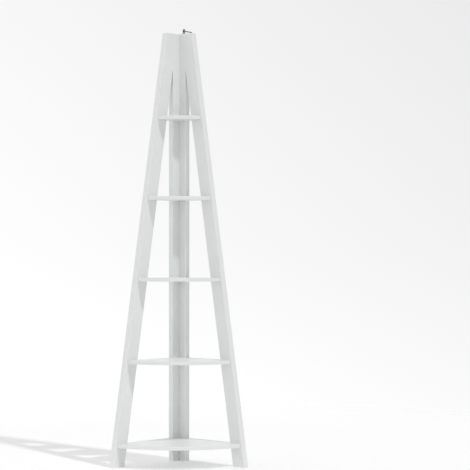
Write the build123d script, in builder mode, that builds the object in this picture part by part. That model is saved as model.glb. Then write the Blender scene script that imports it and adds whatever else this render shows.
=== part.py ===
"""Corner ladder shelf: an L-shaped post, two leaning legs and five quarter-round shelves.

The shelf stands in the corner of a room. Seen from the front (looking along +Y), the left side
frame lies against the left wall and the right side frame against the right wall. Each wall has
its own two directions: "along" the wall, away from the corner, and "into" the room.
All lengths are in millimetres, +Z is up, and the origin is under the middle of the whole unit.
"""

from build123d import *
from math import atan, cos, sqrt
import os

# ---------------------------------------------------------------- driving dimensions
height = 1800.0            # top of the boards
board_thickness = 25.0     # legs and uprights
board_width = 62.0         # legs and uprights, measured square to their length
foot_reach = 401.0         # leg's front edge from the corner, at the floor
top_reach = 99.0           # leg's front edge from the corner, at the top
shelf_thickness = 15.0
first_shelf_top = 95.0
shelf_pitch = 338.0
shelf_setback = 5.0        # shelf's front behind the leg's front edge
shelf_wall_gap = 3.0       # shelf's back edges in front of the walls
notch_gap = 0.5            # slack where a shelf is notched round a board
edge_round = 1.5           # softened edges of the boards
shelf_round = 2.0          # softened front edge of the shelves

# Furniture screws: flat heads sunk level with the faces that touch the walls.
screw_shank = 2.5          # radius
screw_head = 4.5           # radius of the flat head
screw_head_height = 2.6
screw_socket = 1.75        # radius of the hexagonal socket
screw_socket_depth = 2.2
screw_tip = 4.0            # length of the pointed end
screw_play = 0.05          # radial play in the drilled holes
leg_screw_length = 50.0
post_screw_length = 40.0
leg_screw_spacing = 21.0
leg_screw_shift = 1.0      # moves each pair back, away from the shelf's rounded front
post_screw_reach = 46.0    # from the corner, along the wall
joining_screw_low = 40.0   # height of the lowest joining screw

# Dowels between each leg and its upright.
dowel_radius = 4.0
dowel_length = 40.0
dowel_bevel = 0.8
dowel_heights = (1680.0, 1730.0, 1780.0)

# Wall fixing on top of the right upright.
bracket_thickness = 2.0
bracket_width = 14.0
bracket_rise = 25.0
bracket_foot = 17.0
bracket_reach = 29.0       # middle of the bracket from the corner, along the wall
bracket_corner = 5.0       # rounding of the free ends
bracket_bend = 1.5         # inner radius of the bend
wall_screw_height = 15.0   # above the top of the board
wall_screw_length = 50.0
wall_screw_radius = 2.0
wall_screw_head = 4.0
wall_screw_hole = 2.25
bracket_screw_length = 16.0
bracket_screw_radius = 1.75
bracket_screw_head = 3.4
bracket_screw_hole = 2.0
bracket_screw_inset = 10.5  # from the wall
pan_head_height = 2.4
pan_head_rim = 0.8         # height of the head's straight edge
neck_length = 2.5          # plain, slightly thinner stretch under a pan head
neck_step = 0.2            # how much smaller its radius is
cross_width = 1.0
cross_depth = 1.4
cross_span = 1.2           # length of the cross over the radius of the head
point_radius = 0.4         # blunt end of every screw

# ---------------------------------------------------------------- worked-out sizes
half = sqrt(0.5)
rake = (foot_reach - top_reach) / height
leg_width = board_width / cos(atan(rake))          # measured level
joint_height = (foot_reach - leg_width - board_width) / rake
shelf_names = ("bottom", "second", "third", "fourth", "top")
shelf_tops = [first_shelf_top + shelf_pitch * i for i in range(len(shelf_names))]
left, right = -1, 1
side_names = {left: "left", right: "right"}


def leg_front(z):
    """Distance of a leg's front edge from the corner at height z."""
    return foot_reach - rake * z


def shelf_radius(top):
    return leg_front(top) - shelf_setback


# The origin is under the middle of the outline, from the front of the bottom shelf to the tip of
# the wall screw, which stands out behind the corner.
screw_overhang = (wall_screw_length - bracket_thickness - bracket_reach + point_radius) * half
corner = Vector(0, (shelf_radius(shelf_tops[0]) - screw_overhang) / 2, 0)


def along(side):
    """Direction away from the corner along one wall."""
    return Vector(side * half, -half, 0)


def inward(side):
    """Direction from one wall into the room."""
    return Vector(-side * half, -half, 0)


def place(side, reach, depth, z):
    """Point at a reach along one wall, a depth in from it and a height."""
    return corner + along(side) * reach + inward(side) * depth + Vector(0, 0, z)


def wall_plane(side):
    """Plane of one wall: local X along the wall, local Y up."""
    return Plane(origin=corner, x_dir=along(side), z_dir=along(side).cross(Vector(0, 0, 1)))


def level_plane(z):
    """Level plane with its origin above the corner."""
    return Plane.XY.offset(z).move(Location(corner))


def level_point(side, reach, depth):
    """Point of a level plane at a reach along one wall and a depth in from it."""
    offset = along(side) * reach + inward(side) * depth
    return (offset.X, offset.Y)


# ---------------------------------------------------------------- where the screws go
def leg_screw_reaches(top):
    """The two screws share the stretch where the shelf meets the leg."""
    back = leg_front(top) - leg_width
    middle = (back + shelf_radius(top)) / 2 - leg_screw_shift
    return (middle - leg_screw_spacing / 2, middle + leg_screw_spacing / 2)


def screw_level(top):
    return top - shelf_thickness / 2


joining_screw_heights = [joining_screw_low] + [top + shelf_pitch / 2 for top in shelf_tops]
joining_screw_reach = board_thickness / 2


# ---------------------------------------------------------------- tools used on several parts
def sink_hole(side, reach, z):
    """Countersunk through hole, opened from the wall side of a board."""
    with Locations(Plane(origin=place(side, reach, 0, z), z_dir=inward(side) * -1)):
        Hole(radius=screw_shank + screw_play, depth=board_thickness)
        Cone(
            bottom_radius=screw_head + screw_play,
            top_radius=screw_shank + screw_play,
            height=screw_head_height,
            rotation=(180, 0, 0),
            align=(Align.CENTER, Align.CENTER, Align.MIN),
            mode=Mode.SUBTRACT,
        )


def pilot_hole(origin, direction, depth, radius=screw_shank + screw_play):
    """Blind hole that starts at origin and runs along direction."""
    with Locations(Plane(origin=origin, z_dir=direction * -1)):
        Hole(radius=radius, depth=depth)


def furniture_screw(side, reach, z, length):
    """One flat-head screw with a hexagonal socket, driven square to the wall."""
    head = place(side, reach, 0, z)
    with BuildSketch(Plane(origin=head, x_dir=(0, 0, 1), z_dir=along(side))) as profile:
        with BuildLine():
            sign = profile.workplanes[0].y_dir.dot(inward(side))
            Polyline(
                (0, 0),
                (screw_head, 0),
                (screw_shank, sign * screw_head_height),
                (screw_shank, sign * (length - screw_tip)),
                (point_radius, sign * length),
                (0, sign * length),
                close=True,
            )
        make_face()
    revolve(profile.sketch, axis=Axis(head, inward(side)))
    with BuildSketch(Plane(origin=head, z_dir=inward(side))) as socket:
        RegularPolygon(radius=screw_socket, side_count=6)
    extrude(socket.sketch, amount=screw_socket_depth, mode=Mode.SUBTRACT)


# ---------------------------------------------------------------- uprights
# The right upright is the full board width and passes behind the left one, which is narrower by
# a board thickness, so both stand out equally from the corner. Their front edges are softened
# below the joint with the legs and left square above it.
def make_upright(side):
    first = 0.0 if side == right else board_thickness
    middle = (first + board_width) / 2
    width = board_width - first
    with BuildPart() as upright:
        for low, high, rounded in ((0, joint_height, True), (joint_height, height, False)):
            with BuildSketch(level_plane(low)) as section:
                with BuildLine():
                    Polyline(
                        level_point(side, first, 0),
                        level_point(side, board_width, 0),
                        level_point(side, board_width, board_thickness),
                        level_point(side, first, board_thickness),
                        close=True,
                    )
                make_face()
                if rounded:
                    front = section.vertices().sort_by(Axis((0, 0, 0), along(side)))[-2:]
                    fillet(front, radius=edge_round)
            extrude(amount=high - low)
        for top in shelf_tops:
            sink_hole(side, post_screw_reach, screw_level(top))
        for z in joining_screw_heights:
            if side == right:
                sink_hole(right, joining_screw_reach, z)
            else:
                mouth = place(right, joining_screw_reach, board_thickness, z)
                pilot_hole(mouth, inward(right), leg_screw_length - board_thickness)
        for z in dowel_heights:
            mouth = place(side, board_width, board_thickness / 2, z)
            pilot_hole(mouth, along(side) * -1, dowel_length / 2, dowel_radius)
        if side == right:
            mouth = place(side, bracket_reach, bracket_screw_inset, height)
            depth = bracket_screw_length - bracket_thickness
            pilot_hole(mouth, Vector(0, 0, -1), depth, bracket_screw_radius + screw_play)
    upright.part.label = side_names[side] + "_upright"
    return upright.part


# ---------------------------------------------------------------- leaning legs
# Each leg lies in the plane of its upright. Its feet and top are cut level, and above the joint
# height its back edge is cut upright, where it is glued to the front edge of the upright.
def make_leg(side):
    with BuildPart() as leg:
        with BuildSketch(wall_plane(side)):
            with BuildLine():
                Polyline(
                    (leg_front(0), 0),
                    (leg_front(0) - leg_width, 0),
                    (board_width, joint_height),
                    (board_width, height),
                    (top_reach, height),
                    close=True,
                )
            make_face()
        extrude(amount=side * board_thickness)
        lean = Vector(0, 0, 1) - along(side) * rake
        fillet(leg.edges().filter_by(Axis((0, 0, 0), lean)), radius=edge_round)
        for top in shelf_tops:
            for reach in leg_screw_reaches(top):
                sink_hole(side, reach, screw_level(top))
        for z in dowel_heights:
            mouth = place(side, board_width, board_thickness / 2, z)
            pilot_hole(mouth, along(side), dowel_length / 2, dowel_radius)
    leg.part.label = side_names[side] + "_leg"
    return leg.part


# ---------------------------------------------------------------- shelves
# A quarter disc about the corner, notched round the post and round both legs. Between the post
# and each leg it reaches back almost to the wall.
def make_shelf(name, top):
    radius = shelf_radius(top)
    notch = leg_front(top) - leg_width - notch_gap
    tongue = board_width + notch_gap
    front = sqrt(radius**2 - board_thickness**2)
    half_outline = (
        (front, board_thickness),
        (notch, board_thickness),
        (notch, shelf_wall_gap),
        (tongue, shelf_wall_gap),
        (tongue, board_thickness),
    )
    right_points = [level_point(right, reach, depth) for reach, depth in half_outline]
    left_points = [level_point(left, reach, depth) for reach, depth in half_outline]
    inner_corner = level_point(right, board_thickness, board_thickness)
    with BuildPart() as shelf:
        with BuildSketch(level_plane(top - shelf_thickness)):
            with BuildLine():
                Polyline(*right_points, inner_corner, *reversed(left_points))
                ThreePointArc(left_points[0], (0, -radius), right_points[0])
            make_face()
        extrude(amount=shelf_thickness)
        fillet(shelf.edges().filter_by(GeomType.CIRCLE), radius=shelf_round)
        for side in (left, right):
            for reach in leg_screw_reaches(top):
                mouth = place(side, reach, board_thickness, screw_level(top))
                pilot_hole(mouth, inward(side), leg_screw_length - board_thickness)
            mouth = place(side, post_screw_reach, board_thickness, screw_level(top))
            pilot_hole(mouth, inward(side), post_screw_length - board_thickness)
    shelf.part.label = name + "_shelf"
    return shelf.part


# ---------------------------------------------------------------- screws and dowels
def make_leg_screws(name, top):
    with BuildPart() as screws:
        for side in (left, right):
            for reach in leg_screw_reaches(top):
                furniture_screw(side, reach, screw_level(top), leg_screw_length)
    screws.part.label = name + "_shelf_leg_screws"
    return screws.part


def make_post_screws(name, top):
    with BuildPart() as screws:
        for side in (left, right):
            furniture_screw(side, post_screw_reach, screw_level(top), post_screw_length)
    screws.part.label = name + "_shelf_post_screws"
    return screws.part


def make_joining_screws():
    with BuildPart() as screws:
        for z in joining_screw_heights:
            furniture_screw(right, joining_screw_reach, z, leg_screw_length)
    screws.part.label = "upright_joining_screws"
    return screws.part


def make_dowels(side):
    """Three bevelled dowels, half in the upright and half in the leg."""
    fitted_radius = dowel_radius - screw_play
    with BuildPart() as dowels:
        for z in dowel_heights:
            start = place(side, board_width - dowel_length / 2 + screw_play, board_thickness / 2, z)
            with BuildSketch(Plane(origin=start, z_dir=along(side))):
                Circle(fitted_radius)
            extrude(amount=dowel_length - 2 * screw_play)
        chamfer(dowels.edges().filter_by(GeomType.CIRCLE), length=dowel_bevel)
    dowels.part.label = side_names[side] + "_leg_dowels"
    return dowels.part


# ---------------------------------------------------------------- wall fixing
# A bent strip: its foot lies on top of the right upright and its upper leg stands in the plane
# of the wall, where the wall screw passes through it.
def make_wall_bracket():
    outer_bend = bracket_bend + bracket_thickness
    strip_start = place(right, bracket_reach - bracket_width / 2, 0, height)
    strip_middle = place(right, bracket_reach, 0, height)
    free_top = height + bracket_rise
    with BuildPart() as bracket:
        with BuildSketch(Plane(origin=strip_start, x_dir=inward(right), z_dir=along(right))) as bend:
            up = bend.workplanes[0].y_dir.Z
            with BuildLine():
                Polyline(
                    (0, 0),
                    (bracket_foot, 0),
                    (bracket_foot, up * bracket_thickness),
                    (bracket_thickness, up * bracket_thickness),
                    (bracket_thickness, up * bracket_rise),
                    (0, up * bracket_rise),
                    close=True,
                )
            make_face()
        extrude(amount=bracket_width)
        creases = bracket.edges().filter_by(Axis((0, 0, 0), along(right)))
        outer_crease = creases.sort_by_distance(strip_middle)[0]
        fillet(outer_crease, radius=outer_bend)
        inner_point = strip_middle + inward(right) * bracket_thickness + Vector(0, 0, bracket_thickness)
        creases = bracket.edges().filter_by(Axis((0, 0, 0), along(right)))
        fillet(creases.sort_by_distance(inner_point)[0], radius=bracket_bend)
        top_corners = bracket.edges().filter_by(Axis((0, 0, 0), inward(right)))
        fillet(top_corners.group_by(Axis.Z)[-1], radius=bracket_corner)
        foot_corners = bracket.edges().filter_by(Axis.Z)
        foot_corners = foot_corners.sort_by(Axis(corner, inward(right)))[-2:]
        fillet(foot_corners, radius=bracket_corner)
        with Locations(Plane(origin=place(right, bracket_reach, 0, height + wall_screw_height),
                             z_dir=inward(right) * -1)):
            Hole(radius=wall_screw_hole)
        with Locations(Plane(origin=place(right, bracket_reach, bracket_screw_inset, free_top))):
            Hole(radius=bracket_screw_hole)
    bracket.part.label = "wall_bracket"
    return bracket.part


def pan_head_screw(seat, direction, radius, head_radius, length):
    """One pan-head screw with a cross recess, its head standing on seat."""
    turned = Plane(origin=seat, z_dir=direction)
    profile_plane = Plane(origin=seat, x_dir=turned.x_dir, z_dir=turned.y_dir)
    down = profile_plane.y_dir.dot(direction)
    crown = (0, -down * pan_head_height)
    rim = (head_radius, -down * pan_head_rim)
    with BuildSketch(profile_plane) as profile:
        with BuildLine():
            TangentArc(crown, rim, tangent=(1, 0))
            Polyline(
                rim,
                (head_radius, 0),
                (radius - neck_step, 0),
                (radius - neck_step, down * neck_length),
                (radius, down * neck_length),
                (radius, down * (length - screw_tip)),
                (point_radius, down * length),
                (0, down * length),
                crown,
            )
        make_face()
    revolve(profile.sketch, axis=Axis(seat, direction))
    top = Plane(origin=seat - direction * pan_head_height, x_dir=turned.x_dir, z_dir=direction)
    with BuildSketch(top) as recess:
        Rectangle(head_radius * cross_span, cross_width)
        Rectangle(cross_width, head_radius * cross_span)
    extrude(recess.sketch, amount=cross_depth, mode=Mode.SUBTRACT)


def make_bracket_screw():
    seat = place(right, bracket_reach, bracket_screw_inset, height + bracket_thickness)
    with BuildPart() as screw:
        pan_head_screw(
            seat, Vector(0, 0, -1), bracket_screw_radius, bracket_screw_head, bracket_screw_length
        )
    screw.part.label = "bracket_screw"
    return screw.part


def make_wall_screw():
    seat = place(right, bracket_reach, bracket_thickness, height + wall_screw_height)
    with BuildPart() as screw:
        pan_head_screw(
            seat, inward(right) * -1, wall_screw_radius, wall_screw_head, wall_screw_length
        )
    screw.part.label = "wall_screw"
    return screw.part


# ---------------------------------------------------------------- make and write every piece
pieces = [make_upright(side) for side in (left, right)]
pieces += [make_leg(side) for side in (left, right)]
pieces += [make_dowels(side) for side in (left, right)]
for shelf_name, shelf_top in zip(shelf_names, shelf_tops):
    pieces.append(make_shelf(shelf_name, shelf_top))
    pieces.append(make_leg_screws(shelf_name, shelf_top))
    pieces.append(make_post_screws(shelf_name, shelf_top))
pieces += [make_joining_screws(), make_wall_bracket(), make_bracket_screw(), make_wall_screw()]

os.makedirs("parts", exist_ok=True)
for piece in pieces:
    export_step(piece, "parts/" + piece.label + ".step")
    print(piece.label, "solids", len(piece.solids()), "volume", round(piece.volume))
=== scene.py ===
# %% [markdown]
# # A painted corner ladder shelf
# The real piece is white lacquered board: an L-shaped post that stands in the corner of a room,
# two legs that lean against it along the walls, and five quarter-round shelves notched between
# them. This lesson builds what the eye sees around a measured model made elsewhere. The model
# is loaded first and never changed, so every size below is either read from it or named once.

# %% Load the measured model
from math import cos, pi, radians, sin, sqrt

import bmesh
import bpy
from mathutils import Matrix, Vector


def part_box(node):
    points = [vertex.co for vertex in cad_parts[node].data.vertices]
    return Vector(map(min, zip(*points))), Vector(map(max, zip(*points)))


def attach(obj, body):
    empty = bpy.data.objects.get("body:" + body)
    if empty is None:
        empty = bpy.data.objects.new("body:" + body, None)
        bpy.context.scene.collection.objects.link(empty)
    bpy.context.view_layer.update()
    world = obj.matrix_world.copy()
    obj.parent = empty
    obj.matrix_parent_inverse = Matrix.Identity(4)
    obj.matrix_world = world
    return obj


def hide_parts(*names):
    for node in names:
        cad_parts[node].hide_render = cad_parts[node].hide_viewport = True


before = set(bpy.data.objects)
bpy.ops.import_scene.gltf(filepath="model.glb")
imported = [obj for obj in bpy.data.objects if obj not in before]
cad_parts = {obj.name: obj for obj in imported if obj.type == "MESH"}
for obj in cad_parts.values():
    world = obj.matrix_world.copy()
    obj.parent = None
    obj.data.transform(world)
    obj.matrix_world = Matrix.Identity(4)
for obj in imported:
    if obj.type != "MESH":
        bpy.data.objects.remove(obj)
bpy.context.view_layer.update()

# %% [markdown]
# ## Sizes shared by the pieces
# Most sizes can be read from the boxes of the measured pieces, which keeps the two models in
# step. The shelf stands in a corner, so its two walls run at 45 degrees to the box: a distance
# along a wall is a distance along X divided by the cosine of 45 degrees. A few sizes can't be
# told from a box, such as the reach of a foot whose corner is rounded, and are written here.

# %% Read the sizes
HALF = sqrt(0.5)
MM = 0.001
corner_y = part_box("right_upright")[1].y                  # where the two walls meet
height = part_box("right_leg")[1].z
board_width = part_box("right_upright")[1].x / HALF
board_thickness = -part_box("right_upright")[0].x / HALF
foot_reach = 401 * MM                                    # leg's front edge on the floor
top_reach = 99 * MM                                      # leg's front edge at the top
lean = (foot_reach - top_reach) / height
leg_width = board_width * sqrt(1 + lean**2)              # measured level
joint_height = (foot_reach - leg_width - board_width) / lean
shelf_names = ("bottom", "second", "third", "fourth", "top")
shelf_tops = {name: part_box(name + "_shelf")[1].z for name in shelf_names}
shelf_thickness = shelf_tops["bottom"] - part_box("bottom_shelf")[0].z
shelf_setback = 5 * MM                                   # behind the leg's front edge
print("board", round(board_width, 4), "x", round(board_thickness, 4), "lean", round(lean, 4))
print("joint of leg and post at", round(joint_height, 4), "shelves at", shelf_tops)

# %% [markdown]
# ## Directions along the walls
# Every board lies against the left or the right wall, so points are easiest to give as a reach
# along the wall from the corner, a depth into the room and a height. One function turns those
# three into a place in the scene, and the boards and screws on both sides share it.

# %% Points in a wall's own terms
LEFT, RIGHT = -1, 1
side_names = {LEFT: "left", RIGHT: "right"}


def along(side):
    return Vector((side * HALF, -HALF, 0))


def inward(side):
    return Vector((-side * HALF, -HALF, 0))


def at(side, reach, depth, z):
    return Vector((0, corner_y, z)) + along(side) * reach + inward(side) * depth


print("left foot's front edge at", [round(v, 4) for v in at(LEFT, foot_reach, 0, 0)])

# %% [markdown]
# ## Small tools
# A few helpers serve the whole lesson. One adds a node with its settings, and one sets or links
# a node's inputs, for materials and Geometry Nodes alike. One turns a colour written as a hex
# value, as a paint chart gives it, into the linear light that the renderer counts in. One settles
# an object: it takes the mesh that its modifiers make, keeps that as a plain mesh and drops the
# modifiers, so that what is measured, rendered and exported is the same.

# %% Helpers for nodes, colours and meshes
def feed(node, inputs):
    """Set or link inputs. A source is a value, a socket, a node, which stands for the first of
    its outputs in use, or a list of sockets and nodes."""
    for key, value in inputs.items():
        for source in value if isinstance(value, list) else [value]:
            if isinstance(source, bpy.types.Node):
                source = next(socket for socket in source.outputs if socket.enabled)
            if isinstance(source, bpy.types.NodeSocket):
                node.id_data.links.new(source, node.inputs[key])
            else:
                node.inputs[key].default_value = source


def add(tree, kind, inputs=None, **settings):
    """One node with its settings and inputs."""
    node = tree.nodes.new(kind)
    for name, value in settings.items():
        setattr(node, name, value)
    feed(node, inputs or {})
    return node


def linear(hex_colour):
    """An sRGB hex colour as linear red, green, blue and alpha."""
    channels = [int(hex_colour[i:i + 2], 16) / 255 for i in (1, 3, 5)]
    light = [c / 12.92 if c <= 0.04045 else ((c + 0.055) / 1.055) ** 2.4 for c in channels]
    return (*light, 1.0)


def new_object(name, mesh):
    piece = bpy.data.objects.new(name, mesh)
    bpy.context.scene.collection.objects.link(piece)
    return piece


def settle(piece):
    """Keep what the modifiers make as the object's own plain mesh."""
    bpy.context.view_layer.update()
    graph = bpy.context.evaluated_depsgraph_get()
    mesh = bpy.data.meshes.new_from_object(piece.evaluated_get(graph), depsgraph=graph)
    mesh.name = piece.name
    piece.modifiers.clear()
    piece.data = mesh
    return piece


def volume(piece):
    """Enclosed volume in cubic centimetres; below zero, the faces would point inwards."""
    solid = bmesh.new()
    solid.from_mesh(piece.data)
    found = solid.calc_volume(signed=True) * 1e6
    solid.free()
    return round(found, 2)


print("white at half strength is", round(linear("#BCBCBC")[0], 3), "in linear light")

# %% [markdown]
# ## White lacquer on board
# The boards are sprayed with a white satin lacquer. It is an even, slightly cool white, and what
# makes it read as paint is in the surface: the orange-peel dimple that spray leaves, a dimple
# every millimetre or two and a few hundredths of a millimetre deep, a long soft waviness from
# the sanded board below, and a sheen that changes a little from patch to patch. Where hands and
# cloths rub the softened edges, the film is thinner and smoother. The edges carry an attribute
# named rub, which is 1 on their narrow faces, and the finish reads it there.

# %% Material: white satin lacquer
def white_lacquer():
    material = bpy.data.materials.new("white_satin_lacquer")
    material.use_nodes = True
    tree = material.node_tree
    shader = tree.nodes["Principled BSDF"]
    place = add(tree, "ShaderNodeTexCoord").outputs["Object"]
    # Patches about 90 mm across where the coat is a little thicker or thinner.
    patches = add(tree, "ShaderNodeTexNoise",
                  {"Vector": place, "Scale": 1 / (90 * MM), "Detail": 3.0, "Roughness": 0.55})
    # Fine fibre tips of the board, about 3 mm apart, that only just show through.
    fibres = add(tree, "ShaderNodeTexNoise",
                 {"Vector": place, "Scale": 1 / (3 * MM), "Detail": 2.0, "Roughness": 0.6})
    rub = add(tree, "ShaderNodeAttribute", attribute_name="rub").outputs["Fac"]
    coat = add(tree, "ShaderNodeMix",
               {"Factor": patches, "A": linear("#E3E5E4"), "B": linear("#EAECEB")},
               data_type="RGBA")
    speck = add(tree, "ShaderNodeMapRange",
                {"Value": fibres, "From Min": 0.3, "From Max": 0.7,
                 "To Min": 0.975, "To Max": 1.0})
    speckled = add(tree, "ShaderNodeVectorMath", {0: coat, "Scale": speck}, operation="SCALE")
    thin = add(tree, "ShaderNodeMath", {0: rub, 1: patches}, operation="MULTIPLY")
    colour = add(tree, "ShaderNodeMix",
                 {"Factor": thin, "A": speckled,
                  "B": linear("#EFF0EC")}, data_type="RGBA")
    # Satin: roughness from 0.38 to 0.50 by patch, and smoother where it is rubbed.
    sheen = add(tree, "ShaderNodeMapRange",
                {"Value": patches, "From Min": 0.3, "From Max": 0.7,
                 "To Min": 0.50, "To Max": 0.38})
    polish = add(tree, "ShaderNodeMath", {0: rub, 1: -0.08, 2: sheen}, operation="MULTIPLY_ADD")
    # Orange peel: a dimple every 1.6 mm, up to 0.05 mm deep, on the sanded board's 25 mm wave.
    peel = add(tree, "ShaderNodeTexNoise",
               {"Vector": place, "Scale": 1 / (1.6 * MM), "Detail": 1.0, "Roughness": 0.4})
    wave = add(tree, "ShaderNodeTexNoise",
               {"Vector": place, "Scale": 1 / (25 * MM), "Detail": 1.0, "Roughness": 0.4})
    board_bump = add(tree, "ShaderNodeBump",
                     {"Strength": 0.5, "Distance": 0.10 * MM, "Height": wave})
    peel_bump = add(tree, "ShaderNodeBump",
                    {"Strength": 0.6, "Distance": 0.05 * MM, "Height": peel,
                     "Normal": board_bump})
    feed(shader, {"Base Color": colour, "Roughness": polish, "Normal": peel_bump, "IOR": 1.5})
    return material


lacquer = white_lacquer()
print("lacquer has", len(lacquer.node_tree.nodes), "nodes")

# %% [markdown]
# ## Plated and coated steel
# The furniture screws are zinc plated, which leaves a bright bluish grey with a faint grain of
# crystals. The strip of the wall fixing and its short screw have the same plate gone dull. The
# long wall screw has a black phosphate coat, a matt crystalline layer that holds oil and isn't
# itself a metal. All three are a crystal grain with clouds in it, so one function makes them,
# with the two ends of the colour, the roughness, the grain and whether it mirrors like metal.

# %% Materials: bright zinc, dull zinc and black phosphate
def plated_steel(name, dark, light, roughness, grain, metallic=1.0):
    material = bpy.data.materials.new(name)
    material.use_nodes = True
    tree = material.node_tree
    shader = tree.nodes["Principled BSDF"]
    place = add(tree, "ShaderNodeTexCoord").outputs["Object"]
    crystals = add(tree, "ShaderNodeTexVoronoi", {"Vector": place, "Scale": 1 / grain})
    clouds = add(tree, "ShaderNodeTexNoise",
                 {"Vector": place, "Scale": 0.2 / grain, "Detail": 3.0})
    blend = add(tree, "ShaderNodeMix",
                {"Factor": 0.6, "A": clouds.outputs["Color"], "B": crystals.outputs["Color"]},
                data_type="RGBA")
    level = add(tree, "ShaderNodeSeparateColor", {"Color": blend})
    colour = add(tree, "ShaderNodeMix",
                 {"Factor": level.outputs["Red"], "A": linear(dark), "B": linear(light)},
                 data_type="RGBA")
    rough = add(tree, "ShaderNodeMapRange",
                {"Value": level.outputs["Green"], "To Min": roughness - 0.07,
                 "To Max": roughness + 0.07})
    bump = add(tree, "ShaderNodeBump",
               {"Strength": 0.4, "Distance": 0.03 * MM, "Height": level.outputs["Red"]})
    feed(shader, {"Base Color": colour, "Roughness": rough, "Normal": bump, "Metallic": metallic})
    return material


bright_zinc = plated_steel("bright_zinc_plate", "#A7ACB0", "#C9CED2", 0.32, 0.9 * MM)
dull_zinc = plated_steel("dull_zinc_plate", "#8E9194", "#ABAEB1", 0.50, 0.7 * MM)
phosphate = plated_steel("black_phosphate_coat", "#161617", "#29292B", 0.55, 0.4 * MM, 0.0)
print("steel finishes:", bright_zinc.name, dull_zinc.name, phosphate.name)

# %% [markdown]
# ## Beech dowels
# Each leg is glued to its post with three beech dowels. They are hidden once it is built, but
# the shape is right as measured, so those pieces stay and only get their wood: a pale pinkish
# tan with rings about 1.5 mm apart and the short dark flecks that beech is known by. The grain
# runs along the dowel, so the pattern is stretched that way by turning it 45 degrees.

# %% Material: beech, grain along one wall
def beech(name, side):
    material = bpy.data.materials.new(name)
    material.use_nodes = True
    tree = material.node_tree
    shader = tree.nodes["Principled BSDF"]
    place = add(tree, "ShaderNodeTexCoord").outputs["Object"]
    turned = add(tree, "ShaderNodeMapping",
                 {"Vector": place, "Rotation": (0, 0, side * radians(45))})
    stretched = add(tree, "ShaderNodeVectorMath",
                    {0: turned, 1: (0.15, 1.0, 1.0)}, operation="MULTIPLY")
    rings = add(tree, "ShaderNodeTexWave",
                {"Vector": stretched, "Scale": 0.05 / (1.5 * MM),
                 "Distortion": 3.0, "Detail": 2.0}, bands_direction="Y")
    flecks = add(tree, "ShaderNodeTexNoise",
                 {"Vector": stretched, "Scale": 1 / (0.6 * MM), "Detail": 2.0})
    wood = add(tree, "ShaderNodeMix",
               {"Factor": rings.outputs["Fac"], "A": linear("#D9B48A"), "B": linear("#C79D72")},
               data_type="RGBA")
    flecked = add(tree, "ShaderNodeMapRange",
                  {"Value": flecks, "From Min": 0.62, "From Max": 0.75})
    colour = add(tree, "ShaderNodeMix",
                 {"Factor": flecked, "A": wood,
                  "B": linear("#9A6E4A")}, data_type="RGBA")
    bump = add(tree, "ShaderNodeBump", {"Strength": 0.5, "Distance": 0.05 * MM, "Height": flecks})
    feed(shader, {"Base Color": colour, "Normal": bump, "Roughness": 0.65})
    return material


for side, name in side_names.items():
    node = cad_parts[name + "_leg_dowels"]
    node.data.materials.clear()
    node.data.materials.append(beech("beech_along_" + name + "_wall", side))
    print(node.name, "keeps its measured shape and gets", node.data.materials[0].name)

# %% [markdown]
# ## Where the screws go
# Long screws pass through the legs and the post into the shelves' edges, and six more join the
# two halves of the post. Their places follow a rule: two screws share the stretch where a shelf
# meets a leg, one stands in each post board, all half way up the shelf's edge. The boards need
# the same places for their countersunk holes, so they are worked out first.

# %% Places of the furniture screws
screw_shank = 2.5 * MM
screw_head = 4.5 * MM
screw_head_height = 2.6 * MM
screw_play = 0.05 * MM                 # the holes are this much wider
leg_screw_length = 50 * MM
post_screw_length = 40 * MM
leg_screw_spacing = 21 * MM
post_screw_reach = 46 * MM
joining_screw_low = 40 * MM
leg_screw_shift = 1 * MM               # back from the middle, clear of the rounded front
shelf_pitch = shelf_tops["second"] - shelf_tops["bottom"]


def leg_screw_reaches(top):
    front = foot_reach - lean * top
    middle = (front - leg_width + front - shelf_setback) / 2 - leg_screw_shift
    return (middle - leg_screw_spacing / 2, middle + leg_screw_spacing / 2)


def screw_level(top):
    return top - shelf_thickness / 2


leg_screws = {name: [(reach, screw_level(top)) for reach in leg_screw_reaches(top)]
              for name, top in shelf_tops.items()}
post_screws = {name: [(post_screw_reach, screw_level(top))] for name, top in shelf_tops.items()}
joining_screws = [(board_thickness / 2, z)
                  for z in [joining_screw_low] + [t + shelf_pitch / 2 for t in shelf_tops.values()]]
print(4 * len(leg_screws), "leg screws,", 2 * len(post_screws), "post screws,",
      len(joining_screws), "joining screws")

# %% [markdown]
# ## Boards: legs and post
# A board is a flat outline given a thickness, so each one starts as the same kind of prism in
# bmesh. What makes it a board and not a block is its edges: the long ones are sanded to a 1.5 mm
# round, the sawn ends only broken with paper, and the edges at a glued seam are left square so
# that the seam closes. Each edge gets its own bevel weight for that. The countersunk holes are
# cut afterwards, so that the bevel doesn't run round them. The last step marks the narrow faces
# of the softened edges for the rubbed finish.

# %% Turned cutters
def lathe(profile, place, direction, around=24):
    """A closed turned shape from (radius, distance) pairs, pointing along a direction."""
    solid = bmesh.new()
    rings = []
    for radius, distance in profile:
        if radius == 0:
            rings.append([solid.verts.new((0, 0, distance))] * around)
            continue
        turns = [2 * pi * i / around for i in range(around)]
        rings.append([solid.verts.new((radius * cos(t), radius * sin(t), distance)) for t in turns])
    for low, high in zip(rings, rings[1:]):
        for i in range(around):
            corners = [low[i], low[(i + 1) % around], high[(i + 1) % around], high[i]]
            solid.faces.new(list(dict.fromkeys(corners)))
    bmesh.ops.recalc_face_normals(solid, faces=solid.faces)
    mesh = bpy.data.meshes.new("turned")
    solid.to_mesh(mesh)
    solid.free()
    turn = direction.to_track_quat("Z", "Y").to_matrix().to_4x4()
    mesh.transform(Matrix.Translation(place) @ turn)
    return mesh


def join_meshes(meshes, name):
    joined = bmesh.new()
    for mesh in meshes:
        joined.from_mesh(mesh)
    whole = bpy.data.meshes.new(name)
    joined.to_mesh(whole)
    joined.free()
    return whole


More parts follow.
